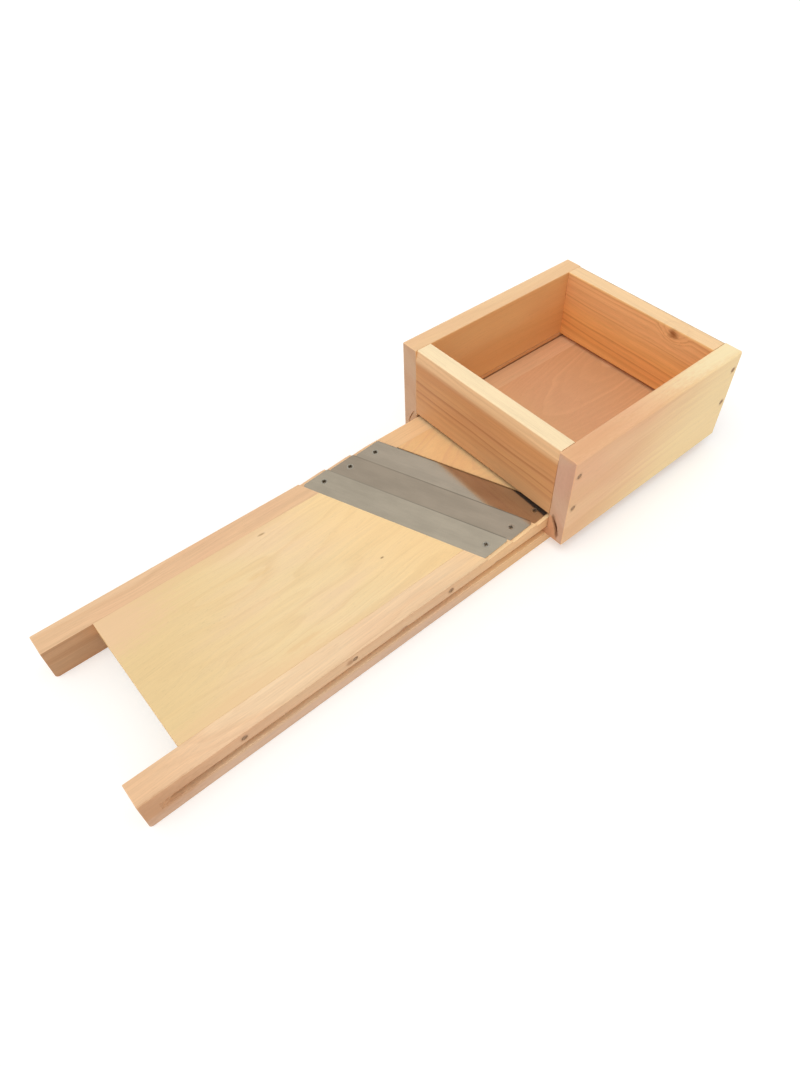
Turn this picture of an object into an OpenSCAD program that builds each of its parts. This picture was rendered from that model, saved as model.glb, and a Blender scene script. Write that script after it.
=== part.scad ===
// Cabbage shredder: a slicing board with three skewed knives and an open-bottomed box that slides along it.
// The board is two grooved rails with a panel between them before and behind the knives.
// The box is four nailed boards. Two runners on its side walls travel in the rails' grooves.
// +X runs from the horns to the far end, +Y to the left, +Z up. The rails stand on Z = 0.

/* [Board] */
// Length of the board, which is the rails' length
board_l = 700; // [560:5:900]
// Width of the board over both rails
board_w = 200; // [150:1:280]
// Width of a rail
rail_w = 24; // [20:0.5:34]
// Height of a rail
rail_h = 39; // [36:0.5:60]
// Length of the horns, the rails' ends in front of the front panel
horn_l = 48; // [20:1:90]
// Radius of the rounded lower corner at a horn's end
toe_r = 4; // [2:0.5:10]
// Thickness of the two panels
panel_t = 16; // [12:0.5:20]

/* [Grooves] */
// Drop from a rail's top to the upper edge of its groove
groove_drop = 15; // [12:0.5:18]
// Height of a groove
groove_h = 10; // [6:0.5:14]
// Depth of a groove
groove_d = 9; // [5:0.5:10]
// Distance from a rail's near end to the tip of its groove
groove_tip = 14; // [6:1:40]
// Radius of the disc cutter that left the groove's run-out
cutter_r = 55; // [30:1:80]

/* [Knives] */
// Angle of the knives across the board
skew = 21.5; // [5:0.5:30]
// Tilt that lifts the cutting edges
tilt = 6; // [3:0.5:8]
// Width of a knife, from its back to its cutting edge
knife_w = 31; // [26:0.5:34]
// Thickness of a knife
knife_t = 1.2; // [0.8:0.1:2]
// Spacing of the knives along the board
knife_pitch = 33.6; // [33:0.1:44]
// Distance from the near end to the first knife's back, on the centre line
knife_start = 322.7; // [290:0.1:350]
// Height of the cutting edges above the board's top
edge_rise = 1.9; // [1:0.1:2.6]
// Distance from a knife's ends to the rails' outer faces
knife_inset = 3.5; // [3:0.5:8]
// Radius of a knife's corners
knife_corner_r = 3.5; // [1:0.5:6]
// Width of the ground bevel under a cutting edge
bevel_w = 2.4; // [1:0.1:4]
// Thickness left at a cutting edge
edge_t = 0.25; // [0.1:0.05:0.5]
// Gap at the back of the first knife, between it and the front panel
knife_back_gap = 0.4; // [0.2:0.1:1]
// Gap between the last cutting edge and the rear panel
throat = 2.9; // [2:0.1:6]

/* [Knife screws] */
// Diameter of a screw's countersunk head
screw_head_d = 7; // [5.5:0.1:8]
// Diameter of a screw's shank
screw_d = 3.5; // [3:0.1:4.2]
// Length of a screw
screw_l = 12; // [9:0.5:12]
// Distance from a rail's outer face to its screws
screw_inset = 14.5; // [9:0.5:18]
// Length of the arms of a screw's cross recess
recess_l = 4.2; // [2.4:0.1:4.4]
// Width of the arms of the cross recess
recess_w = 1.2; // [0.5:0.1:1.4]
// Depth of the cross recess
recess_depth = 1.2; // [0.6:0.1:1.2]

/* [Box] */
// Length of the box along the board
box_l = 256; // [200:1:300]
// Height of the box above the board's top
box_h = 88; // [70:1:120]
// Thickness of the side walls
side_t = 21; // [19:0.5:28]
// Thickness of the front and back walls
end_t = 21; // [16:0.5:28]
// Running gap between a side wall and its rail
side_gap = 0.6; // [0.4:0.1:0.9]
// Gap under the front and back walls, over the board's top
end_gap = 4.5; // [3:0.1:6]
// Height of the bevel along the front wall's outer top edge
front_bevel_h = 12; // [4:0.5:20]
// Depth of that bevel
front_bevel_d = 2.5; // [1:0.1:5]
// Leg of the chamfer along the back wall's outer top edge
back_chamfer = 2; // [1:0.5:8]

/* [Runners] */
// Height of a runner's top above the board's top
runner_rise = 5; // [3:0.5:10]
// Thickness of a runner at its top
runner_top_t = 5; // [4:0.5:8]
// Thickness of a runner at its foot, without its tongue
runner_foot_t = 13.5; // [10:0.5:15]
// Drop from the board's top to the knee, where a runner's sloped back meets its foot
runner_knee = 13; // [9:0.5:18]
// Set-back of a runner's ends from the side wall's ends
runner_inset = 0.5; // [0:0.1:6]
// Hollow that the left wall's rebate leaves behind its runner's sloped back
left_hollow = 0.8; // [0.3:0.1:3]
// Hollow that the right wall's rebate leaves there
right_hollow = 2.6; // [0.3:0.1:3]
// Play under a tongue, over the lower side of its groove
foot_play = 0.3; // [0.2:0.05:0.6]
// Play over a tongue, under the upper side of its groove
head_play = 0.7; // [0.2:0.05:1]
// Play between a tongue and the bottom of its groove
tip_play = 0.5; // [0.3:0.05:0.9]

/* [Nails] */
// Diameter of a nail's head
nail_head_d = 5.6; // [3.2:0.1:6.4]
// Thickness of a nail's head
nail_head_t = 0.9; // [0.5:0.1:1.4]
// Diameter of a nail's shank
nail_d = 2.2; // [1.6:0.1:2.6]
// Length of the nails in the panels and at the box's corners
nail_l = 48; // [40:1:55]
// Length of the nails in the runners
runner_nail_l = 17; // [14:0.5:18]
// Depth of a nail's head below the wood's face
nail_sink = 0.3; // [0.1:0.05:0.8]
// Distance from a panel's square end to its first nail
panel_nail_inset = 44; // [20:1:60]
// Distance from a panel's skewed end to its last nail, along the rail
cut_nail_inset = 37; // [20:1:60]
// Distance from a side wall's ends to its corner nails
corner_nail_inset = 7.5; // [5:0.5:12]
// Height of the lower corner nails above the board's top
low_nail_z = 25; // [14:1:34]
// Height of the upper corner nails above the board's top
high_nail_z = 68; // [45:1:76]
// Number of nails in a runner
runner_nails = 4; // [2:1:6]
// Distance from a runner's ends to its outer nails
runner_nail_inset = 28; // [10:1:50]
// Drop from the board's top to a runner's nails
runner_nail_drop = 5; // [2:0.5:7]

/* [Fits] */
// Clearance round a nail or a screw in its hole
hole_fit = 0.05; // [0.02:0.01:0.2]
// Clearance between a runner and the rebate in its side wall
rebate_fit = 0.05; // [0.02:0.01:0.2]

/* [Hidden] */
$fn = 48;

// Cutting tools reach this far past the wood they cut
over = 1;
// The two sides of the object, as signs of Y
left = 1;
right = -1;

near_x = -board_l / 2;
far_x = board_l / 2;
half_w = board_w / 2;
rail_mid = half_w - rail_w / 2;
rail_in = half_w - rail_w;
top_z = rail_h;

// The groove's full depth begins where the cutter's axis stopped
cutter_x = near_x + groove_tip + sqrt(pow(cutter_r, 2) - pow(cutter_r - groove_d, 2));
groove_top_z = top_z - groove_drop;
groove_low_z = groove_top_z - groove_h;

// Knives are numbered from the horns: 0, 1, 2
last_knife = 2;
knife_plan_w = knife_w * cos(tilt);
back_z = top_z + edge_rise - knife_w * sin(tilt);
screw_y = half_w - screw_inset;
screw_cone_h = (screw_head_d - screw_d) / 2;
screw_tip_h = screw_d;
screw_tip_d = 0.6;

// The box stands at the far end, its back flush with the rails' ends
box_x = far_x - box_l;
front_nail_x = box_x + corner_nail_inset;
back_nail_x = far_x - corner_nail_inset;
wall_in = half_w + side_gap;
end_low_z = top_z + end_gap;
box_top_z = top_z + box_h;
wall_low_z = groove_low_z + foot_play;
tongue_top_z = groove_top_z - head_play;
tongue_l = side_gap + groove_d - tip_play;
runner_l = box_l - 2 * runner_inset;
nail_tip_h = 2 * nail_d;
nail_tip_d = 0.4;

function back_x(y) = near_x + knife_start - y * tan(skew);
function panel_cut_x(y) = back_x(y) - knife_back_gap / cos(skew);
function throat_x(y) = back_x(y) + (last_knife * knife_pitch) + (knife_plan_w + throat) / cos(skew);

// A convex outline with each corner turned on an arc
function rounded(points, r, steps = 8) = [
    for (i = [0 : len(points) - 1])
        let (
            p = points[i],
            a = points[(i + len(points) - 1) % len(points)] - p,
            b = points[(i + 1) % len(points)] - p,
            ua = a / norm(a),
            ub = b / norm(b),
            half = acos(ua * ub) / 2,
            centre = p + (ua + ub) / norm(ua + ub) * r / sin(half),
            from = p + ua * r / tan(half) - centre,
            turn = 180 - 2 * half
        )
        for (k = [0 : steps])
            let (t = turn * k / steps)
            centre + [from.x * cos(t) - from.y * sin(t), from.x * sin(t) + from.y * cos(t)]
];

// A nail along +X, driven the other way: its head's face at X = -sink, its point at X = -length
module nail(length) {
    rotate([0, -90, 0]) {
        translate([0, 0, nail_sink]) cylinder(d = nail_head_d, h = nail_head_t);
        translate([0, 0, nail_sink]) cylinder(d = nail_d, h = length - nail_tip_h - nail_sink);
        translate([0, 0, length - nail_tip_h]) cylinder(d1 = nail_d, d2 = nail_tip_d, h = nail_tip_h);
    }
}

// The hole for that nail, with the head sunk and clearance all round
module nail_hole(length) {
    rotate([0, -90, 0]) {
        translate([0, 0, -over])
            cylinder(d = nail_head_d + 2 * hole_fit, h = over + nail_sink + nail_head_t + hole_fit);
        cylinder(d = nail_d + 2 * hole_fit, h = length + hole_fit);
    }
}

// Children turned from +X to face out of one side of the object
module facing(side) {
    rotate([0, 0, 90 * side]) children();
}

// Places of the nails through one rail into one panel, at equal steps between the outer two
module at_panel_nails(side, first, last) {
    for (x = [first, (first + last) / 2, last])
        translate([x, side * half_w, top_z - panel_t / 2]) facing(side) children();
}

module at_front_panel_nails(side) {
    first = near_x + horn_l + panel_nail_inset;
    last = panel_cut_x(side * rail_in) - cut_nail_inset;
    at_panel_nails(side, first, last) children();
}

module at_rear_panel_nails(side) {
    first = throat_x(side * rail_in) + cut_nail_inset;
    last = far_x - panel_nail_inset;
    at_panel_nails(side, first, last) children();
}

// Places of the two nails at one corner of the box
module at_box_nails(x, side) {
    for (z = [low_nail_z, high_nail_z])
        translate([x, side * (wall_in + side_t), top_z + z]) facing(side) children();
}

// Places of a runner's nails, on the runner's face beside the rail
module at_runner_nails(side) {
    span = runner_l - 2 * runner_nail_inset;
    for (i = [0 : runner_nails - 1])
        translate([
            box_x + runner_inset + runner_nail_inset + span * i / (runner_nails - 1),
            side * wall_in,
            top_z - runner_nail_drop
        ]) facing(-side) children();
}

// The frame of knife k: its back's top edge along Y, its top face on Z = 0, its cutting edge at X = knife_w
module at_knife(k) {
    translate([near_x + knife_start + k * knife_pitch, 0, back_z])
        rotate([0, 0, skew]) rotate([0, -tilt, 0]) children();
}

// Where the line at this board Y crosses a knife, as the knife's own Y at its own X
function knife_y(y, x) = (y - x * cos(tilt) * sin(skew)) / cos(skew);

// Places of knife k's two screws, one over each rail
module at_screws(k) {
    at_knife(k)
        for (side = [left, right])
            translate([knife_w / 2, knife_y(side * screw_y, knife_w / 2), 0]) children();
}

// The body of a countersunk screw, its head's face on Z = 0, grown by a clearance
module screw_body(fit = 0) {
    neck_z = -screw_cone_h;
    translate([0, 0, neck_z]) cylinder(d1 = screw_d + 2 * fit, d2 = screw_head_d + 2 * fit, h = screw_cone_h);
    translate([0, 0, -screw_l + screw_tip_h]) cylinder(d = screw_d + 2 * fit, h = screw_l - screw_tip_h + neck_z);
    translate([0, 0, -screw_l]) cylinder(d1 = screw_tip_d + 2 * fit, d2 = screw_d + 2 * fit, h = screw_tip_h);
}

module screw_hole() {
    screw_body(hole_fit);
    cylinder(d = screw_head_d + 2 * hole_fit, h = over);
    translate([0, 0, -screw_l - hole_fit]) cylinder(d = screw_tip_d + 2 * hole_fit, h = over);
}

module cross_recess() {
    for (turn = [0, 90])
        rotate([0, 0, turn])
            translate([-recess_l / 2, -recess_w / 2, -recess_depth])
                cube([recess_l, recess_w, recess_depth + over]);
}

module knife(k) {
    reach = half_w - knife_inset;
    outline = [
        [0, knife_y(-reach, 0)],
        [knife_w, knife_y(-reach, knife_w)],
        [knife_w, knife_y(reach, knife_w)],
        [0, knife_y(reach, 0)]
    ];
    difference() {
        at_knife(k)
            difference() {
                translate([0, 0, -knife_t]) linear_extrude(knife_t) polygon(rounded(outline, knife_corner_r));
                rotate([90, 0, 0])
                    linear_extrude(2 * board_w, center = true)
                        polygon([
                            [knife_w - bevel_w, -knife_t],
                            [knife_w, -edge_t],
                            [knife_w + over, -edge_t],
                            [knife_w + over, -knife_t - over],
                            [knife_w - bevel_w, -knife_t - over]
                        ]);
            }
        at_screws(k) screw_hole();
    }
}

module knife_screws(k) {
    at_screws(k)
        difference() {
            screw_body();
            cross_recess();
        }
}

// The side view of a rail, with the rounded toe under the horn's end
module rail_side() {
    difference() {
        translate([near_x, 0]) square([board_l, rail_h]);
        translate([near_x, 0])
            difference() {
                translate([-over, -over]) square([toe_r + over, toe_r + over]);
                translate([toe_r, toe_r]) circle(toe_r);
            }
    }
}

// The groove in one rail, with the cutter's round run-out at the near end
module groove(side) {
    translate([cutter_x, side * (half_w + cutter_r - groove_d), groove_low_z])
        cylinder(r = cutter_r, h = groove_h, $fn = 96);
    translate([cutter_x, side * (half_w - groove_d / 2 + over / 2) - (groove_d + over) / 2, groove_low_z])
        cube([far_x - cutter_x + over, groove_d + over, groove_h]);
}

// The wood above one knife's underside, cut away to seat it
module knife_seat(k) {
    at_knife(k)
        translate([-knife_back_gap, -board_w, -knife_t])
            cube([knife_w + knife_back_gap, 2 * board_w, knife_w]);
}

module rail(side) {
    difference() {
        translate([0, side * rail_mid, 0])
            rotate([90, 0, 0]) linear_extrude(rail_w, center = true) rail_side();
        groove(side);
        for (k = [0 : last_knife]) {
            knife_seat(k);
            at_screws(k) screw_hole();
        }
        at_front_panel_nails(side) nail_hole(nail_l);
        at_rear_panel_nails(side) nail_hole(nail_l);
    }
}

module left_rail() {
    color("#e6c391") rail(left);
}

module right_rail() {
    color("#e6c391") rail(right);
}

// A panel between the rails, from one end line to another across the board
module panel(outline) {
    translate([0, 0, top_z - panel_t]) linear_extrude(panel_t) polygon(outline);
}

module front_panel() {
    color("#f0d9a8")
        difference() {
            panel([
                [near_x + horn_l, -rail_in],
                [panel_cut_x(-rail_in), -rail_in],
                [panel_cut_x(rail_in), rail_in],
                [near_x + horn_l, rail_in]
            ]);
            for (side = [left, right]) at_front_panel_nails(side) nail_hole(nail_l);
        }
}

module rear_panel() {
    color("#d9a679")
        difference() {
            panel([
                [throat_x(-rail_in), -rail_in],
                [far_x, -rail_in],
                [far_x, rail_in],
                [throat_x(rail_in), rail_in]
            ]);
            for (side = [left, right]) at_rear_panel_nails(side) nail_hole(nail_l);
        }
}

module front_knife() {
    color("#b3ac9c") knife(0);
}

module middle_knife() {
    color("#b3ac9c") knife(1);
}

module rear_knife() {
    color("#b3ac9c") knife(last_knife);
}

module front_knife_screws() {
    color("#8c887e") knife_screws(0);
}

module middle_knife_screws() {
    color("#8c887e") knife_screws(1);
}

module rear_knife_screws() {
    color("#8c887e") knife_screws(last_knife);
}

module front_panel_nails() {
    color("#6e6257") for (side = [left, right]) at_front_panel_nails(side) nail(nail_l);
}

module rear_panel_nails() {
    color("#6e6257") for (side = [left, right]) at_rear_panel_nails(side) nail(nail_l);
}

// The section of a runner in Y and Z, its inner face on Y = 0 and its tongue on the other side of it
function runner_section() = [
    [0, top_z + runner_rise],
    [runner_top_t, top_z + runner_rise],
    [runner_foot_t, top_z - runner_knee],
    [runner_foot_t, wall_low_z],
    [-tongue_l, wall_low_z],
    [-tongue_l, tongue_top_z],
    [0, tongue_top_z]
];

// The rebate's side: a shallow arc from a runner's top to its knee, bulging into the side wall
function rebate_arc(side, steps = 12) =
    let (
        hollow = side == left ? left_hollow : right_hollow,
        from = [runner_top_t + rebate_fit, top_z + runner_rise + rebate_fit],
        to = [runner_foot_t + rebate_fit, top_z - runner_knee],
        along = to - from,
        out = [-along.y, along.x] / norm(along)
    )
    [for (i = [0 : steps]) from + along * i / steps + out * hollow * sin(180 * i / steps)];

// The section of a side wall in Y and Z, its inner face on Y = 0
function side_section(side) = concat(
    [
        [side_t, wall_low_z],
        [side_t, box_top_z],
        [0, box_top_z],
        [0, top_z + runner_rise + rebate_fit]
    ],
    rebate_arc(side),
    [[runner_foot_t + rebate_fit, wall_low_z]]
);

// A section in Y and Z of one side of the box, drawn out along X
module along_side(side, from_x, length, section) {
    translate([from_x, side * wall_in, 0])
        rotate([90, 0, 90])
            linear_extrude(length) polygon([for (p = section) [side * p.x, p.y]]);
}

module side_wall(side) {
    difference() {
        along_side(side, box_x, box_l, side_section(side));
        at_box_nails(front_nail_x, side) nail_hole(nail_l);
        at_box_nails(back_nail_x, side) nail_hole(nail_l);
        at_runner_nails(side) nail_hole(runner_nail_l);
    }
}

module box_left_wall() {
    color("#e2b887") side_wall(left);
}

module box_right_wall() {
    color("#ecca9c") side_wall(right);
}

// A wall between the side walls: its section in X and Z drawn out across the board
module end_wall(section, nail_x) {
    difference() {
        rotate([90, 0, 0]) linear_extrude(2 * wall_in, center = true) polygon(section);
        for (side = [left, right]) at_box_nails(nail_x, side) nail_hole(nail_l);
    }
}

module box_front_wall() {
    color("#c98f5a")
        end_wall([
            [box_x, end_low_z],
            [box_x + end_t, end_low_z],
            [box_x + end_t, box_top_z],
            [box_x + front_bevel_d, box_top_z],
            [box_x, box_top_z - front_bevel_h]
        ], front_nail_x);
}

module box_back_wall() {
    color("#d9a26b")
        end_wall([
            [far_x - end_t, end_low_z],
            [far_x, end_low_z],
            [far_x, box_top_z - back_chamfer],
            [far_x - back_chamfer, box_top_z],
            [far_x - end_t, box_top_z]
        ], back_nail_x);
}

module runner(side) {
    difference() {
        along_side(side, box_x + runner_inset, runner_l, runner_section());
        at_runner_nails(side) nail_hole(runner_nail_l);
    }
}

module left_runner() {
    color("#d8b184") runner(left);
}

module right_runner() {
    color("#d8b184") runner(right);
}

module left_runner_nails() {
    color("#6e6257") at_runner_nails(left) nail(runner_nail_l);
}

module right_runner_nails() {
    color("#6e6257") at_runner_nails(right) nail(runner_nail_l);
}

module front_left_box_nails() {
    color("#6e6257") at_box_nails(front_nail_x, left) nail(nail_l);
}

module front_right_box_nails() {
    color("#6e6257") at_box_nails(front_nail_x, right) nail(nail_l);
}

module back_left_box_nails() {
    color("#6e6257") at_box_nails(back_nail_x, left) nail(nail_l);
}

module back_right_box_nails() {
    color("#6e6257") at_box_nails(back_nail_x, right) nail(nail_l);
}

left_rail();
right_rail();
front_panel();
rear_panel();
front_knife();
middle_knife();
rear_knife();
front_knife_screws();
middle_knife_screws();
rear_knife_screws();
front_panel_nails();
rear_panel_nails();
box_left_wall();
box_right_wall();
box_front_wall();
box_back_wall();
left_runner();
right_runner();
left_runner_nails();
right_runner_nails();
front_left_box_nails();
front_right_box_nails();
back_left_box_nails();
back_right_box_nails();
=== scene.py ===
import math

import bpy
from mathutils import Matrix, Vector


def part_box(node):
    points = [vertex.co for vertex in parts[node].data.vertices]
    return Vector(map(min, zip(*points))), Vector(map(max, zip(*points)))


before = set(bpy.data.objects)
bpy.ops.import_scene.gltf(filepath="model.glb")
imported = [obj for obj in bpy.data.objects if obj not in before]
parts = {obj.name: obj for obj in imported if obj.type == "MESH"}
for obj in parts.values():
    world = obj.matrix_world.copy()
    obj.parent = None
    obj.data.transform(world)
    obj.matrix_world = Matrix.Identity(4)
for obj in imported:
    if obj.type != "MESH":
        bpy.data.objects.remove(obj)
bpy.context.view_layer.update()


# Rails: two long planed boards of pale alder, standing on edge.
# A disc cutter made the groove in each outer face, and a plane took the sharpness off the long edges.
# The panels are nailed between them, and the knives lie in slanted seats cut across their tops.
MM = 0.001
RAIL_EASE = 1.0
GROOVE_DEEP = 9
GROOVE_MID = 19
RAIL_NAILS = (-258, -152, -35)
RAIL_NAIL_UP = 31
# Lowest and highest corner of the stretch where the knives' seats cut into the rails
SEATS = ((-70, -110, 30), (110, 110, 45))
# How long and how wide each kind of mark in the wood is, in millimetres
WANDER_MARK = (210, 48)
FIBRE_MARK = (85, 0.9)
STREAK_MARK = (260, 4.5)
PORE_MARK = (5.0, 0.35)
BLUSH_MARK = (120, 42)
RAGGED_MARK = (7, 2.2)
# How far apart the boards' seeds lie in the trunk, along the grain and among its bands of tone
TRUNK_STEP = 970.0
BAND_STEP = 31.0
GRAIN_DEPTH = 0.1
WOOD_SHINE = 0.35
# Edges that turn by more than SHARP are eased if they aren't short, and the others stay crisp above CRISP
SHARP = math.radians(40)
CRISP = math.radians(18)
SHORT_EDGE = 1.2
FINE_SHARE = 0.35


def corners(node):
    """A piece's lowest and highest corner, in millimetres."""
    return [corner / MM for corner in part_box(node)]


def put(tree, kind, feeds=None, **settings):
    """A new node with its settings, each input fed by a value or by another node's socket."""
    node = tree.nodes.new(kind)
    for key, value in settings.items():
        setattr(node, key, value)
    for key, value in (feeds or {}).items():
        socket = node.inputs[key]
        if isinstance(value, bpy.types.NodeSocket):
            tree.links.new(value, socket)
        else:
            socket.default_value = value
    return node


def calc(tree, operation, *values):
    """One step of arithmetic."""
    return put(tree, "ShaderNodeMath", dict(enumerate(values)), operation=operation).outputs[0]


def vector(tree, operation, *values):
    """One step of vector arithmetic, which gives a number for a length, a distance or a dot product."""
    node = put(tree, "ShaderNodeVectorMath", dict(enumerate(values)), operation=operation)
    is_number = operation in ("LENGTH", "DISTANCE", "DOT_PRODUCT")
    return node.outputs["Value" if is_number else "Vector"]


def scaled(tree, place, factor):
    """A vector made longer or shorter."""
    return put(tree, "ShaderNodeVectorMath", {0: place, 3: factor}, operation="SCALE").outputs[0]


def remap(tree, value, low, high, to_low=0.0, to_high=1.0):
    """Value eased from one range to another, held at both ends."""
    feeds = {0: value, 1: low, 2: high, 3: to_low, 4: to_high}
    return put(tree, "ShaderNodeMapRange", feeds, interpolation_type="SMOOTHSTEP").outputs[0]


def mix(tree, share, first, second, mode="MIX"):
    """Two colours mixed, with this share of the second."""
    feeds = {0: share, 6: first, 7: second}
    return put(tree, "ShaderNodeMix", feeds, data_type="RGBA", blend_type=mode).outputs[2]


def shaded(tree, colour, shade):
    """A colour made lighter or darker by a number."""
    grey = put(tree, "ShaderNodeCombineXYZ", {0: shade, 1: shade, 2: shade}).outputs[0]
    return mix(tree, 1.0, colour, grey, "MULTIPLY")


def noise(tree, place, detail=2.0, rough=0.5):
    """Soft patches all through space."""
    feeds = {"Vector": place, "Scale": 1.0, "Detail": detail, "Roughness": rough}
    return put(tree, "ShaderNodeTexNoise", feeds, noise_dimensions="3D")


def line_noise(tree, value, detail=1.0):
    """A number that rises and falls softly along another."""
    feeds = {"W": value, "Scale": 1.0, "Detail": detail}
    return put(tree, "ShaderNodeTexNoise", feeds, noise_dimensions="1D").outputs[0]


def spread(tree, mark, along, across, up):
    """A place for noise whose patches are as long and as wide as the mark."""
    long, wide = mark
    feeds = {
        0: calc(tree, "DIVIDE", along, long),
        1: calc(tree, "DIVIDE", across, wide),
        2: calc(tree, "DIVIDE", up, wide),
    }
    return put(tree, "ShaderNodeCombineXYZ", feeds).outputs[0]


def paint(hex_code):
    """The light that a colour written as a web code sends back, as the shaders take it."""
    channels = [int(hex_code[i:i + 2], 16) / 255 for i in (1, 3, 5)]
    light = [c / 12.92 if c <= 0.04045 else ((c + 0.055) / 1.055) ** 2.4 for c in channels]
    return (*light, 1.0)


def new_material(name):
    """An empty material, its node tree and its shader."""
    material = bpy.data.materials.new(name)
    material.use_nodes = True
    return material, material.node_tree, material.node_tree.nodes["Principled BSDF"]


def wood(name, grain, heart, lean, ring, tones, end, seed, band=0.6, ring_show=0.3, wander=9.0,
         fibre=0.06, fades=(), flank_shade=None, knots=(), stains_and_shade=()):
    """Solid wood, the same through the board, so that faces, edges and ends are cuts of one trunk.

    grain is the axis that the fibres follow. heart is where the trunk's middle runs, in millimetres in the
    two other axes, lean how it drifts from there along the board, and ring the width of a year's growth.
    tones are pale wood, deep wood, the late wood of each year, and a flush in patches. end tints the end
    grain. fades are slow changes of tone along a direction, with the share of the rings that still shows
    there; some of them are painted shade. flank_shade is painted shade: the tint of the faces that look one
    way. Knots bend the rings round them, and stains_and_shade only colour the wood: some are real stains,
    and some are painted shade in grooves, hollows, creases and along edges."""
    pale, deep, late, flush = (paint(code) for code in tones)
    material, tree, shader = new_material(name)
    coords = put(tree, "ShaderNodeTexCoord").outputs
    place = scaled(tree, coords["Object"], 1 / MM)
    normal = coords["Normal"]
    x, y, z = put(tree, "ShaderNodeSeparateXYZ", {0: place}).outputs
    u, v, w = (x, y, z) if grain == "X" else (y, x, z)
    facing = put(tree, "ShaderNodeSeparateXYZ", {0: normal}).outputs
    end_on = calc(tree, "ABSOLUTE", facing["XYZ".index(grain)])
    away = calc(tree, "ADD", u, TRUNK_STEP * seed)

    def gone_from(point, reach):
        """How far this place lies from a point, where 1 is the reach, with a ragged edge."""
        step = vector(tree, "DIVIDE", vector(tree, "SUBTRACT", place, point), reach)
        ragged = noise(tree, spread(tree, RAGGED_MARK, away, v, w)).outputs["Fac"]
        return calc(tree, "MULTIPLY_ADD", calc(tree, "SUBTRACT", ragged, 0.5), 0.9,
                    vector(tree, "LENGTH", step))

    # Years of growth round the heart, which wander as the trunk did and bulge round the knots
    drift = noise(tree, spread(tree, WANDER_MARK, away, v, w)).outputs["Color"]
    drift = put(tree, "ShaderNodeSeparateXYZ", {0: drift}).outputs
    side = []
    for across, middle, slope, stray in zip((v, w), heart, lean, drift):
        from_heart = calc(tree, "SUBTRACT", across, calc(tree, "MULTIPLY_ADD", u, slope, middle))
        stray = calc(tree, "SUBTRACT", stray, 0.5)
        side.append(calc(tree, "MULTIPLY_ADD", stray, 2 * wander, from_heart))
    radius = calc(tree, "SQRT", calc(tree, "ADD", *[calc(tree, "MULTIPLY", s, s) for s in side]))
    spots = [(gone_from(point, reach), paint(code)) for point, reach, code in knots]
    for gone, _ in spots:
        radius = calc(tree, "ADD", radius, remap(tree, gone, 0.3, 3.2, 2.2 * ring, 0.0))
    year = calc(tree, "DIVIDE", radius, ring)
    uneven = line_noise(tree, calc(tree, "MULTIPLY", year, 0.3))
    year = calc(tree, "MULTIPLY_ADD", uneven, 2.4, year)
    season = calc(tree, "FRACT", year)
    rise = remap(tree, season, 0.30, 0.90)
    fall = remap(tree, season, 0.90, 1.0, 1.0, 0.0)
    strength = line_noise(tree, calc(tree, "MULTIPLY", calc(tree, "FLOOR", year), 0.73))
    strength = remap(tree, strength, 0.35, 0.68, 0.15, 1.0)
    late_wood = calc(tree, "MULTIPLY", calc(tree, "MULTIPLY", rise, fall), strength)

    # Broad bands of tone, fibres drawn out along the grain, and short pores
    tone = calc(tree, "ADD", calc(tree, "DIVIDE", radius, 5.5 * ring), BAND_STEP * seed)
    tone = remap(tree, line_noise(tree, tone, detail=2.0), 0.32, 0.7)
    strands = noise(tree, spread(tree, FIBRE_MARK, away, *side), detail=3.0, rough=0.6).outputs["Fac"]
    streaks = noise(tree, spread(tree, STREAK_MARK, away, *side)).outputs["Fac"]
    pores = noise(tree, spread(tree, PORE_MARK, away, *side), detail=1.0).outputs["Fac"]
    pores = remap(tree, pores, 0.62, 0.74)
    blush = noise(tree, spread(tree, BLUSH_MARK, away, v, w)).outputs["Fac"]

    colour = mix(tree, calc(tree, "MULTIPLY", tone, band), pale, deep)
    colour = mix(tree, remap(tree, blush, 0.42, 0.72, 0.0, 0.65), colour, flush)
    shown = ring_show
    for direction, start, finish, code, *rings in fades:
        along = vector(tree, "DOT_PRODUCT", place, direction)
        stray = calc(tree, "MULTIPLY", calc(tree, "SUBTRACT", streaks, 0.5), 0.35 * (finish - start))
        faded = remap(tree, calc(tree, "ADD", along, stray), start, finish)
        colour = mix(tree, faded, colour, paint(code))
        still = rings[0] if rings else 0.3
        shown = calc(tree, "MULTIPLY", shown, calc(tree, "MULTIPLY_ADD", faded, still - 1.0, 1.0))
    colour = mix(tree, calc(tree, "MULTIPLY", late_wood, shown), colour, late)
    shade = calc(tree, "ADD", remap(tree, strands, 0.3, 0.7, 1 - fibre, 1 + fibre),
                 remap(tree, streaks, 0.3, 0.7, -0.7 * fibre, 0.7 * fibre))
    shade = calc(tree, "MULTIPLY", shade, calc(tree, "MULTIPLY_ADD", pores, -0.10, 1.0))
    colour = shaded(tree, colour, shade)
    # The faces that look one way take a tint of painted shade
    if flank_shade:
        way, code = flank_shade
        tinted = mix(tree, 1.0, colour, paint(code), "MULTIPLY")
        colour = mix(tree, remap(tree, vector(tree, "DOT_PRODUCT", normal, way), 0.5, 0.95), colour, tinted)
    sawn = mix(tree, 1.0, colour, paint(end), "MULTIPLY")
    colour = mix(tree, remap(tree, end_on, 0.80, 0.97, 0.0, 0.85), colour, sawn)
    for gone, code in spots:
        colour = mix(tree, remap(tree, gone, 0.2, 1.2, 0.9, 0.0), colour, code)
    # Real stains, and painted shade in grooves, hollows, creases and along edges
    for point, reach, code, share in stains_and_shade:
        stain_and_shade_share = remap(tree, gone_from(point, reach), 0.25, 1.15, share, 0.0)
        colour = mix(tree, stain_and_shade_share, colour, paint(code))

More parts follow.
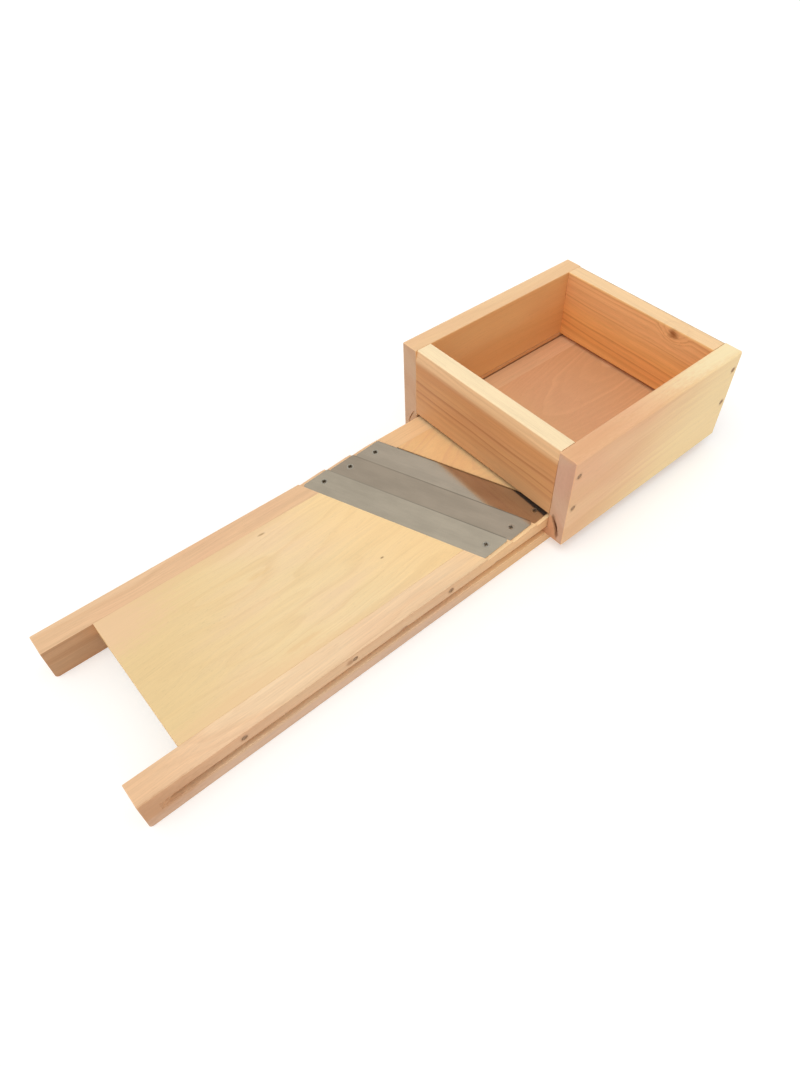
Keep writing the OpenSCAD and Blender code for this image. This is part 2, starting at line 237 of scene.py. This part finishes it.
    # Late wood and fibres stand up a little, and pores lie open
    height = calc(tree, "MULTIPLY_ADD", late_wood, 0.35, calc(tree, "MULTIPLY", pores, -0.7))
    height = calc(tree, "MULTIPLY_ADD", strands, 0.6, height)
    bump = put(tree, "ShaderNodeBump", {"Strength": 0.2, "Distance": GRAIN_DEPTH * MM, "Height": height})
    rough = calc(tree, "MULTIPLY_ADD", strands, 0.18, 0.46)
    tree.links.new(colour, shader.inputs["Base Color"])
    tree.links.new(rough, shader.inputs["Roughness"])
    tree.links.new(bump.outputs[0], shader.inputs["Normal"])
    shader.inputs["Specular IOR Level"].default_value = WOOD_SHINE
    return material


def eased(piece, radius, share=1.0, full=(), fine=(), plain=None):
    """The piece's long edges taken off to a share of a small radius, all in modifiers.

    full is a pair of planes (axis, place in millimetres) whose shared edge takes the whole radius. fine lists
    planes where the piece meets its neighbour and the edge stays crisper. plain is a box, given by its lowest
    and highest corners, where the edges stay as the saw left them."""
    clean = bpy.data.node_groups.new(piece.name + "_clean", "GeometryNodeTree")
    marks = bpy.data.node_groups.new(piece.name + "_edges", "GeometryNodeTree")
    for group in (clean, marks):
        for way in ("INPUT", "OUTPUT"):
            group.interface.new_socket("Geometry", in_out=way, socket_type="NodeSocketGeometry")

    # One smooth skin, without the seams and the splits of flat faces
    came = put(clean, "NodeGroupInput").outputs[0]
    feeds = {"Geometry": came, "Name": "custom_normal"}
    bare = put(clean, "GeometryNodeRemoveAttribute", feeds).outputs[0]
    feeds = {"Geometry": bare, "Distance": 0.001 * MM}
    joined = put(clean, "GeometryNodeMergeByDistance", feeds).outputs[0]
    put(clean, "NodeGroupOutput", {0: put(clean, "GeometryNodeSetShadeSmooth", {0: joined}).outputs[0]})
    piece.modifiers.new("clean", "NODES").node_group = clean
    flat = piece.modifiers.new("flat", "DECIMATE")
    flat.decimate_type = "DISSOLVE"
    flat.angle_limit = math.radians(0.5)

    # How much each edge is taken off
    came = put(marks, "NodeGroupInput").outputs[0]
    turn = put(marks, "GeometryNodeInputMeshEdgeAngle").outputs[0]
    ends = put(marks, "GeometryNodeInputMeshEdgeVertices").outputs
    length = vector(marks, "DISTANCE", ends["Position 1"], ends["Position 2"])
    at = put(marks, "GeometryNodeInputPosition").outputs[0]
    at = put(marks, "ShaderNodeSeparateXYZ", {0: at}).outputs

    def on(axis, plane):
        return calc(marks, "COMPARE", at["XYZ".index(axis)], plane * MM, 0.1 * MM)

    weight = share
    if full:
        both = calc(marks, "MULTIPLY", *[on(*plane) for plane in full])
        weight = calc(marks, "MULTIPLY_ADD", both, 1 - share, share)
    for axis, plane in fine:
        kept = calc(marks, "MULTIPLY_ADD", on(axis, plane), FINE_SHARE - 1, 1.0)
        weight = calc(marks, "MULTIPLY", weight, kept)
    weight = calc(marks, "MULTIPLY", weight, calc(marks, "GREATER_THAN", turn, SHARP))
    weight = calc(marks, "MULTIPLY", weight, calc(marks, "GREATER_THAN", length, SHORT_EDGE * MM))
    if plain:
        inside = 1.0
        for place, least, most in zip(at, *plain):
            inside = calc(marks, "MULTIPLY", inside, calc(marks, "GREATER_THAN", place, least * MM))
            inside = calc(marks, "MULTIPLY", inside, calc(marks, "LESS_THAN", place, most * MM))
        weight = calc(marks, "MULTIPLY", weight, calc(marks, "SUBTRACT", 1.0, inside))
    feeds = {"Geometry": came, "Name": "bevel_weight_edge", "Value": weight}
    settings = {"data_type": "FLOAT", "domain": "EDGE"}
    stored = put(marks, "GeometryNodeStoreNamedAttribute", feeds, **settings).outputs[0]
    crisp = calc(marks, "MULTIPLY", calc(marks, "GREATER_THAN", turn, CRISP),
                 calc(marks, "LESS_THAN", weight, 0.01))
    feeds = {"Geometry": stored, "Selection": crisp, "Shade Smooth": False}
    creased = put(marks, "GeometryNodeSetShadeSmooth", feeds, domain="EDGE").outputs[0]
    put(marks, "NodeGroupOutput", {0: creased})
    piece.modifiers.new("edges", "NODES").node_group = marks

    # The plane's pass along the edges, and its doubled corners joined
    plane = piece.modifiers.new("plane", "BEVEL")
    plane.limit_method = "WEIGHT"
    plane.width = radius * MM
    plane.segments = 4
    plane.use_clamp_overlap = False
    plane.harden_normals = True
    weld = piece.modifiers.new("weld", "WELD")
    weld.merge_threshold = 0.002 * MM


def dress(piece, material):
    """The piece in one material."""
    piece.data.materials.clear()
    piece.data.materials.append(material)


rail_in, rail_out = (corner.y for corner in corners("left_rail"))
groove = rail_out - GROOVE_DEEP
# How far the painted shade in each groove reaches
groove_shade_reach = (440, 7, 6)
rails = {
    "left": dict(
        heart=(60, -46), seed=1, tones=("#f0c9a0", "#e4b588", "#cf9763", "#ecbd95"),
        # Painted shade: the inner face, the groove and the stretch under the box.
        flank_shade=((0, -1, 0), "#d9cabe"),
        fades=[((1, 0, 0), 0, 60, "#f3c896"), ((1, 0, 0), 90, 260, "#e4b68c")],
        stains_and_shade=[((0, groove, GROOVE_MID), groove_shade_reach, "#b07a50", 0.7)],
    ),
    "right": dict(
        heart=(-72, -46), seed=2, tones=("#f8d8b0", "#eec59b", "#d9a473", "#f3c9a2"),
        # Painted shade: the outer face, the horn's side, the groove (most along the horn), the stretch under
        # the box.
        flank_shade=((0, -1, 0), "#f0e3da"),
        fades=[((-1, 0, 0), 270, 345, "#efc49a"), ((0, 0, -1), -15, -9, "#efd2b8"),
               ((1, 0, 0), -60, 50, "#ffd9a6"), ((1, 0, 0), 95, 260, "#e4b68c")],
        stains_and_shade=[((0, -groove, GROOVE_MID), groove_shade_reach, "#a87248", 0.75),
                ((-330, -groove, GROOVE_MID), (210, 7, 6), "#805026", 0.8),
                ((-350, -rail_out, 22), (80, 3, 26), "#c48e64", 0.6),
                ((-91, -rail_out, 24), (6, 3, 2.5), "#8a5a3a", 0.8),
                ((25, -rail_out, 24), (5, 3, 2.2), "#8a5a3a", 0.8)]
        + [((x, -rail_out, RAIL_NAIL_UP), (5, 3, 4.5), "#a8744c", 0.7) for x in RAIL_NAILS],
    ),
}
for side, look in rails.items():
    rail = parts[side + "_rail"]
    eased(rail, RAIL_EASE, fine=[("Y", rail_in), ("Y", -rail_in)], plain=SEATS)
    dress(rail, wood(side + "_rail_wood", "X", lean=(0.02, 0.01), ring=2.6, end="#dcb8a2",
                     band=0.5, ring_show=0.2, fibre=0.05, **look))


# Panels: two thin wide boards of pale linden let in between the rails, their tops flush with them.
# They are planed on top and sawn on the skew where they meet the knives, and nailed through the rails.
PANEL_EASE = 0.25
panel_top = corners("front_panel")[1].z
panels = {
    "front": dict(
        heart=(14, -95), lean=(0.06, 0.02), ring=3.4, ring_show=0.22, wander=14.0, seed=3,
        tones=("#f9deae", "#f2d19c", "#dfb47a", "#f8d3ae"), end="#fff2e0",
        fades=[((-1, 0.3, 0), 140, 290, "#efd09a"), ((1, 0.2, 0), -130, -30, "#ffdca4", 0.7)],
        stains_and_shade=[((-133, 67, panel_top), (5, 1.3, 2), "#9a7446", 0.75),
                ((-62.5, -32.4, panel_top), (2.4, 1.3, 2), "#8d6a48", 0.8),
                ((-162, 27, panel_top), (14, 4, 3), "#e8c084", 0.35),
                ((-174, -61, panel_top), (26, 4, 3), "#ebc28c", 0.4),
                ((-302, 62, panel_top), (80, 40, 4), "#f3caa2", 0.7),
                ((-240, -74, panel_top), (130, 14, 4), "#f3cc9c", 0.6),
                ((-180, 76, panel_top), (120, 12, 4), "#f0cc9c", 0.5)],
    ),
    "rear": dict(
        heart=(-10, -40), lean=(0.10, 0.16), ring=5.0, ring_show=0.6, wander=12.0, seed=4,
        tones=("#f6cb92", "#f0c086", "#e9b688", "#f3c28a"), end="#e6cbb2",
        # Painted shade: the panel grows darker under the box, inside it.
        fades=[((1, 0, 0), 90, 240, "#dfaa80", 1.0), ((1, 0, 0), 235, 345, "#d4a377", 1.0)],
    ),
}
for side, look in panels.items():
    panel = parts[side + "_panel"]
    eased(panel, PANEL_EASE)
    dress(panel, wood(side + "_panel_wood", "X", band=0.5, fibre=0.025, **look))


# Nails: plain wire nails, driven a little below the wood's face and dulled by damp.
# They hold the panels between the rails, the box's corners, and the runners in their rebates.
NAIL_EASE = 0.35
NAIL_TONES = ("#b08a66", "#866648")
# Tones painted on the screws: painted shade in the recesses, and a darker tone round the heads' middles
RECESS_SHADE = "#8a7860"
HEAD_DARK_TONE = "#6f604c"


def plain_metal(name, light, dark, rough, grain_size, metallic=1.0, shade_level=None, spots=()):
    """Metal with a clouded surface: two tones and a patchy gloss.

    shade_level is a direction and a level along it, under which the metal is painted darker: painted shade in
    its recesses. spots are points round which the metal is painted darker, each with how much darker."""
    material, tree, shader = new_material(name)
    place = scaled(tree, put(tree, "ShaderNodeTexCoord").outputs["Object"], 1 / MM)
    cloud = noise(tree, scaled(tree, place, 1 / grain_size), detail=4.0, rough=0.6).outputs["Fac"]
    colour = mix(tree, remap(tree, cloud, 0.35, 0.65), paint(light), paint(dark))
    if shade_level:
        # Painted shade in the recesses, below the level of the face
        across, level = shade_level
        depth = calc(tree, "SUBTRACT", level, vector(tree, "DOT_PRODUCT", place, across))
        colour = mix(tree, remap(tree, depth, 0.1, 0.45), colour, paint(RECESS_SHADE))
    # Darker round the given points, in a share for each
    for spot, share in spots:
        gone = vector(tree, "DISTANCE", place, spot)
        colour = mix(tree, remap(tree, gone, 1.7, 3.4, share, 0.0), colour, paint(HEAD_DARK_TONE))
    tree.links.new(colour, shader.inputs["Base Color"])
    gloss = remap(tree, cloud, 0.3, 0.7, rough - 0.1, rough + 0.12)
    tree.links.new(gloss, shader.inputs["Roughness"])
    bump = put(tree, "ShaderNodeBump", {"Strength": 0.25, "Distance": 0.05 * MM, "Height": cloud})
    tree.links.new(bump.outputs[0], shader.inputs["Normal"])
    shader.inputs["Metallic"].default_value = metallic
    return material


nail_steel = plain_metal("nail_steel", *NAIL_TONES, rough=0.6, grain_size=1.4, metallic=0.15)
for name, nail in parts.items():
    if name.endswith("_nails"):
        eased(nail, NAIL_EASE)
        dress(nail, nail_steel)


# Knives: three strips of rolled stainless steel, laid side by side on the skew with their edges raised.
# Each is ground under its edge and finely polished along its length, and a screw holds each end to a rail.
KNIFE_SKEW = math.radians(21.5)
KNIFE_TILT = math.radians(6)
KNIFE_WIDE = 30.83
# Where each knife's back crosses the middle of the board, and how high
KNIFE_BACKS = (-27.3, 6.3, 39.9)
KNIFE_BACK_UP = 37.66
KNIFE_EASE = 0.15
POLISH_MARK = (60, 0.22)
CLOUD_MARK = (30, 12)


def polished_steel(name, tone, spring, back):
    """Bright rolled steel with faint lines along it and a slow cloud over its gloss. Painted shade darkens
    its raised edge where it stands over the next knife, most towards the right rail, and darkens it towards
    the left rail.

    spring is how many degrees the screws have sprung its face up, and back is where the knife's back crosses
    the middle of the board, in X."""
    material, tree, shader = new_material(name)
    place = put(tree, "ShaderNodeTexCoord").outputs["Object"]
    feeds = {"Vector": place, "Rotation": (0, 0, -KNIFE_SKEW), "Scale": (1 / MM,) * 3}
    turned = put(tree, "ShaderNodeMapping", feeds).outputs[0]
    across, along, up = put(tree, "ShaderNodeSeparateXYZ", {0: turned}).outputs
    lines = noise(tree, spread(tree, POLISH_MARK, along, across, up), detail=3.0, rough=0.7).outputs["Fac"]
    cloud = noise(tree, spread(tree, CLOUD_MARK, along, across, up), detail=3.0).outputs["Fac"]
    shade = calc(tree, "ADD", remap(tree, lines, 0.3, 0.7, 0.93, 1.01),
                 remap(tree, cloud, 0.3, 0.7, -0.05, 0.05))
    # Painted shade along the raised edge, where it stands over the next knife, more towards the right rail
    width = calc(tree, "SUBTRACT", across, back * math.cos(KNIFE_SKEW))
    edge_strip = remap(tree, width, KNIFE_WIDE - 1.5, KNIFE_WIDE - 0.5)
    seam_shade = remap(tree, along, -90, 90, -0.5, -0.25)
    # Painted shade: darker towards the left rail
    shade = calc(tree, "MULTIPLY", shade, remap(tree, along, -70, 90, 1.0, 0.93))
    shade = calc(tree, "MULTIPLY", shade, calc(tree, "MULTIPLY_ADD", edge_strip, seam_shade, 1.0))
    tree.links.new(shaded(tree, paint(tone), shade), shader.inputs["Base Color"])
    tree.links.new(remap(tree, cloud, 0.25, 0.75, 0.08, 0.13), shader.inputs["Roughness"])
    rise = calc(tree, "MULTIPLY", across, math.tan(math.radians(spring)))
    bend = put(tree, "ShaderNodeBump", {"Strength": 1.0, "Distance": MM, "Height": rise}).outputs[0]
    feeds = {"Strength": 0.03, "Distance": 0.01 * MM, "Height": lines, "Normal": bend}
    tree.links.new(put(tree, "ShaderNodeBump", feeds).outputs[0], shader.inputs["Normal"])
    shader.inputs["Metallic"].default_value = 0.93
    return material


# The middle knife's tone is darker than the others': painted shade for its sprung face's darker reflection
knives = {"front_knife": ("#c9bda9", 0.0), "middle_knife": ("#bcad9a", 4.0), "rear_knife": ("#c7b9a6", 0.0)}
for (name, look), back in zip(knives.items(), KNIFE_BACKS):
    eased(parts[name], KNIFE_EASE)
    dress(parts[name], polished_steel(name + "_steel", *look, back))


# Knife screws: six small countersunk wood screws of bright steel, with a cross recess.
# They are driven level with the knives, two to each. Their recesses are painted darker as painted shade, and
# the heads are painted darker round their middles, most at the left rail.
SCREW_EASE = 0.2
SCREW_TONES = ("#d8d1c4", "#aaa293")
# How much darker the heads are painted round their middles at the right rail and at the left one
DARKER_HEAD_SHARES = {-1: 0.35, 1: 0.8}
slope = math.sin(KNIFE_TILT)
knife_up = Vector((-slope * math.cos(KNIFE_SKEW), -slope * math.sin(KNIFE_SKEW), math.cos(KNIFE_TILT)))
for knife, back in zip(knives, KNIFE_BACKS):
    screws = parts[knife + "_screws"]
    eased(screws, SCREW_EASE)
    face = knife_up.dot(Vector((back, 0, KNIFE_BACK_UP)))
    points = [corner.co / MM for corner in screws.data.vertices]
    heads = []
    for side, share in DARKER_HEAD_SHARES.items():
        head = [p for p in points if p.y * side > 0 and knife_up.dot(p) > face - 0.1]
        heads.append((sum(head, Vector()) / len(head), share))
    dress(screws, plain_metal(knife + "_screw_steel", *SCREW_TONES, rough=0.26, grain_size=0.8,
                              shade_level=(knife_up, face), spots=heads))


# Box walls: four thick planed boards nailed at the corners, the end walls between the side walls.
# The side walls reach down beside the rails, and their lower inner edge is rebated for a runner.
WALL_EASE = 2.6
WALL_EASE_SHARE = 0.45
# The stretch of each rebate, out from the middle of the board and up
REBATE_OUT = (100.93, 116.13)
REBATE_UP = (16, 46)
# Where the hollow behind a runner begins and ends, out from the middle of the board and up
HOLLOW_TOP = (106.5, 43)
HOLLOW_FOOT = (113.5, 24)
HOLLOW_BOW = 1.2
HOLLOW_SHADE = "#74492b"
CORNER_NAILS_IN = 7.5
CORNER_NAILS_UP = (64, 107)

wall_low, wall_high = corners("box_left_wall")
wall_in, wall_out, box_top = wall_low.y, wall_high.y, wall_high.z
box_near, box_far = wall_low.x, wall_high.x
corner_nails = [(x, -wall_out, z) for x in (box_near + CORNER_NAILS_IN, box_far - CORNER_NAILS_IN)
                for z in CORNER_NAILS_UP]

# Painted shade down the hollow between the right wall and its runner, at both ends of the box
right_hollow_shade = []
for x in (box_near, box_far):
    for step in (0, 0.25, 0.5, 0.75, 1):
        out, height = (top + (foot - top) * step for top, foot in zip(HOLLOW_TOP, HOLLOW_FOOT))
        out += HOLLOW_BOW * math.sin(math.pi * step)
        right_hollow_shade.append(((x, -out, height), (9, 3.0, 5.5), HOLLOW_SHADE, 0.8))

side_walls = {
    "left": dict(
        heart=(150, 20), lean=(0.03, 0.05), seed=5, tones=("#f8d2a4", "#efc08e", "#d29c66", "#f2c498"),
        # The inner face's tint and a spot at the front foot, in the hollow behind the runner, are painted
        # shade.
        end="#cdc6cf", flank_shade=((0, -1, 0), "#f4e5c9"),
        stains_and_shade=[((box_near, 104.5, 43), (3, 1.6, 1.6), HOLLOW_SHADE, 0.9)],
    ),
    "right": dict(
        heart=(-170, 96), lean=(-0.02, 0.04), seed=6, tones=("#f2c496", "#e8b482", "#d6a06c", "#eeb48c"),
        # Painted light: the outer face grows paler towards its rear foot. The hollow behind the runner is
        # painted shade.
        end="#dadbf4", fades=[((1, 0, -0.9), 70, 245, "#fcdda7")],
        stains_and_shade=[(nail, (5, 3, 5), "#a87a54", 0.6) for nail in corner_nails]
        + [((120, -110, box_top), (90, 14, 5), "#e0a676", 0.45),
           ((340, -110, box_top), (110, 14, 5), "#fff0c4", 0.6)]
        + right_hollow_shade,
    ),
}
for (side, look), way in zip(side_walls.items(), (1, -1)):
    wall = parts[f"box_{side}_wall"]
    near, far = sorted(way * out for out in REBATE_OUT)
    rebate = ((box_near - 1, near, REBATE_UP[0]), (box_far + 1, far, REBATE_UP[1]))
    eased(wall, WALL_EASE, WALL_EASE_SHARE, full=[("Y", way * wall_out), ("Z", box_top)], plain=rebate)
    dress(wall, wood(f"box_{side}_wall_wood", "X", ring=3.6, ring_show=0.10, wander=11.0,
                     fibre=0.022, **look))

end_walls = {
    "front": dict(
        heart=(112, -64), ring=7.4, seed=7, tones=("#d19763", "#c88751", "#a35a32", "#c98959"),
        # Painted shade: the dark underside, and the darker strip along the foot of the face.
        flank_shade=((0, 0, -1), "#80583a"),
        fades=[((0, 0, -1), -72, -50, "#d39d6c"), ((0, 0, 1), 108, 118, "#e8bb8c"),
               ((0, 0, 1), 125, 127, "#ffe6bb"), ((0, 0, -1), -45.5, -43.6, "#b98458")],
    ),
    "back": dict(
        heart=(352, -58), ring=6.4, seed=8, tones=("#f9c58a", "#edae72", "#be7848", "#f1b480"),
        # Painted shade: the warmer, darker inner face, the deeper lower part, and the dark line on the outer
        # top chamfer.
        flank_shade=((-1, 0, 0), "#fff6dc"),
        fades=[((0, 0, 1), 72, 108, "#f4c196", 0.9), ((0, 0, 1), 123, 126.5, "#fad3a2")],
        stains_and_shade=[((box_far, 0, box_top), (4, 400, 4), "#9a7852", 0.75)],
        knots=[((329, -51, 120), (7, 8, 6.5), "#8f5226")],
    ),
}
for side, look in end_walls.items():
    wall = parts[f"box_{side}_wall"]
    eased(wall, WALL_EASE, WALL_EASE_SHARE, fine=[("Y", wall_in), ("Y", -wall_in)])
    dress(wall, wood(f"box_{side}_wall_wood", "Y", lean=(0.02, 0.03), end="#dcc0b0", ring_show=0.5,
                     wander=7.0, fibre=0.05, **look))


# Runners: two battens of the rails' wood, each sloped at the back and nailed into a side wall's rebate.
# A tongue along the foot slides in the rail's groove and keeps the box down on the board.
# The strip of the left one that shows inside the box is painted darker as painted shade, darkest in the
# crease at its foot, and each runner's face in the hollow beside its wall is painted dark as painted shade.
RUNNER_EASE = 0.3
box_middle = (box_near + box_far) / 2
runners = {
    "left": dict(
        tones=("#f0cca4", "#e4b98e", "#cf9d6c", "#ecc09c"), end="#d2c2b8", seed=9,
        # Painted shade: the face in the hollow, the strip inside the box, and the crease at its foot.
        flank_shade=((0, 1, 0.3), "#c0a284"),
        stains_and_shade=[((box_middle, wall_in, 42), (400, 1.5, 4), "#e0a970", 0.9),
                ((box_middle, wall_in, 39), (400, 1.5, 1.8), "#8a5a34", 0.8)],
    ),
    "right": dict(
        tones=("#eac09a", "#dcae84", "#c08e60", "#e4b490"), end="#ead6c8", seed=10,
        # Painted shade: the face in the hollow, and down the hollow at both ends.
        flank_shade=((0, -1, 0.3), "#86603f"), stains_and_shade=right_hollow_shade,
    ),
}
for side, look in runners.items():
    runner = parts[side + "_runner"]
    eased(runner, RUNNER_EASE)
    dress(runner, wood(side + "_runner_wood", "X", heart=(150, -30), lean=(0.02, 0.02), ring=3.0, **look))


# Floor: a plain pale table top, painted matt, that reaches well past the edges of the view.
# It lies a hair below the rails' feet and takes the object's shadow. Seen directly or in the knives, it
# glows a little, so that it meets the room behind it without a line.
FLOOR_HALF = 9.0
FLOOR_TOP = -0.2
FLOOR_COLOUR = (0.82, 0.82, 0.815, 1)
FLOOR_GLOW = 0.3
BACKDROP = (1.0, 1.0, 0.985, 1)


def seen_directly(tree):
    """1 for the rays that show a thing itself, straight on, in metal or through glass, and 0 for light."""
    rays = put(tree, "ShaderNodeLightPath").outputs
    mirrored = calc(tree, "MAXIMUM", rays["Is Glossy Ray"], rays["Is Transmission Ray"])
    return calc(tree, "MAXIMUM", rays["Is Camera Ray"], mirrored)


floor_mesh = bpy.data.meshes.new("floor")
ways = ((-1, -1), (1, -1), (1, 1), (-1, 1))
floor_corners = [(x * FLOOR_HALF, y * FLOOR_HALF, FLOOR_TOP * MM) for x, y in ways]
floor_mesh.from_pydata(floor_corners, [], [(0, 1, 2, 3)])
floor = bpy.data.objects.new("floor", floor_mesh)
bpy.context.scene.collection.objects.link(floor)
floor_paint, tree, shader = new_material("floor_paint")
shader.inputs["Base Color"].default_value = FLOOR_COLOUR
shader.inputs["Roughness"].default_value = 0.9
shader.inputs["Specular IOR Level"].default_value = 0.0
shader.inputs["Emission Color"].default_value = BACKDROP
tree.links.new(calc(tree, "MULTIPLY", seen_directly(tree), FLOOR_GLOW), shader.inputs["Emission Strength"])
dress(floor, floor_paint)


# Light: one wide soft lamp overhead, a little towards the horns, in a pale room.
# The room gives more light from low down than from overhead, as a room with pale walls does.
# Metal shows the room and not the lamp, which would only be a white glare on the knives.
TOP_LIGHT = 1.13
TOP_LIGHT_AT = (-0.42, -0.08, 1.0)
TOP_LIGHT_WIDE = math.radians(46)
ROOM_LOW = 1.05
ROOM_HIGH = 0.52
SEEN_LOW = 1.0
SEEN_HIGH = 0.72
top_lamp = bpy.data.lights.new("top_lamp", "SUN")
top_lamp.energy = TOP_LIGHT
top_lamp.angle = TOP_LIGHT_WIDE
lamp = bpy.data.objects.new("top_lamp", top_lamp)
lamp.location = TOP_LIGHT_AT
lamp.visible_glossy = False
lamp.rotation_euler = (-lamp.location).to_track_quat("-Z", "Y").to_euler()
bpy.context.scene.collection.objects.link(lamp)

room = bpy.data.worlds.new("room")
room.use_nodes = True
bpy.context.scene.world = room
tree = room.node_tree
background = tree.nodes["Background"]
coords = put(tree, "ShaderNodeTexCoord")
height = put(tree, "ShaderNodeSeparateXYZ", {0: coords.outputs["Generated"]}).outputs[2]
walls = remap(tree, height, 0.25, 0.85, SEEN_LOW, SEEN_HIGH)
dome = remap(tree, height, 0.0, 0.9, ROOM_LOW, ROOM_HIGH)
strength = calc(tree, "MULTIPLY_ADD", seen_directly(tree), calc(tree, "SUBTRACT", walls, dome), dome)
background.inputs["Color"].default_value = BACKDROP
tree.links.new(strength, background.inputs["Strength"])


# Camera: held above the near right corner, looking down along the board at the photograph's angle.
# Its place, its three angles and its lens were fitted to the corners of the board and the box.
# The small shift sets the object as far to the left of the frame as the photograph does.
CAMERA_AT = (-0.3274, -0.4033, 0.5996)
CAMERA_DOWN = math.radians(49.21)
CAMERA_TURN = math.radians(48.75)
CAMERA_ROLL = math.radians(0.19)
CAMERA_LENS = 25.67
CAMERA_FILM = 36.0
CAMERA_SHIFT = -0.0281
reach = math.cos(CAMERA_DOWN)
ahead = Vector((reach * math.cos(CAMERA_TURN), reach * math.sin(CAMERA_TURN), -math.sin(CAMERA_DOWN)))
level = Vector((math.sin(CAMERA_TURN), -math.cos(CAMERA_TURN), 0))
right = math.cos(CAMERA_ROLL) * level + math.sin(CAMERA_ROLL) * level.cross(ahead)
up = right.cross(ahead)
camera_data = bpy.data.cameras.new("camera")
camera_data.sensor_width = CAMERA_FILM
camera_data.lens = CAMERA_LENS
camera_data.shift_x = CAMERA_SHIFT
camera = bpy.data.objects.new("camera", camera_data)
camera.matrix_world = Matrix.Translation(CAMERA_AT) @ Matrix((right, up, -ahead)).transposed().to_4x4()
bpy.context.scene.collection.objects.link(camera)
bpy.context.scene.camera = camera
bpy.context.scene.view_settings.view_transform = "Standard"
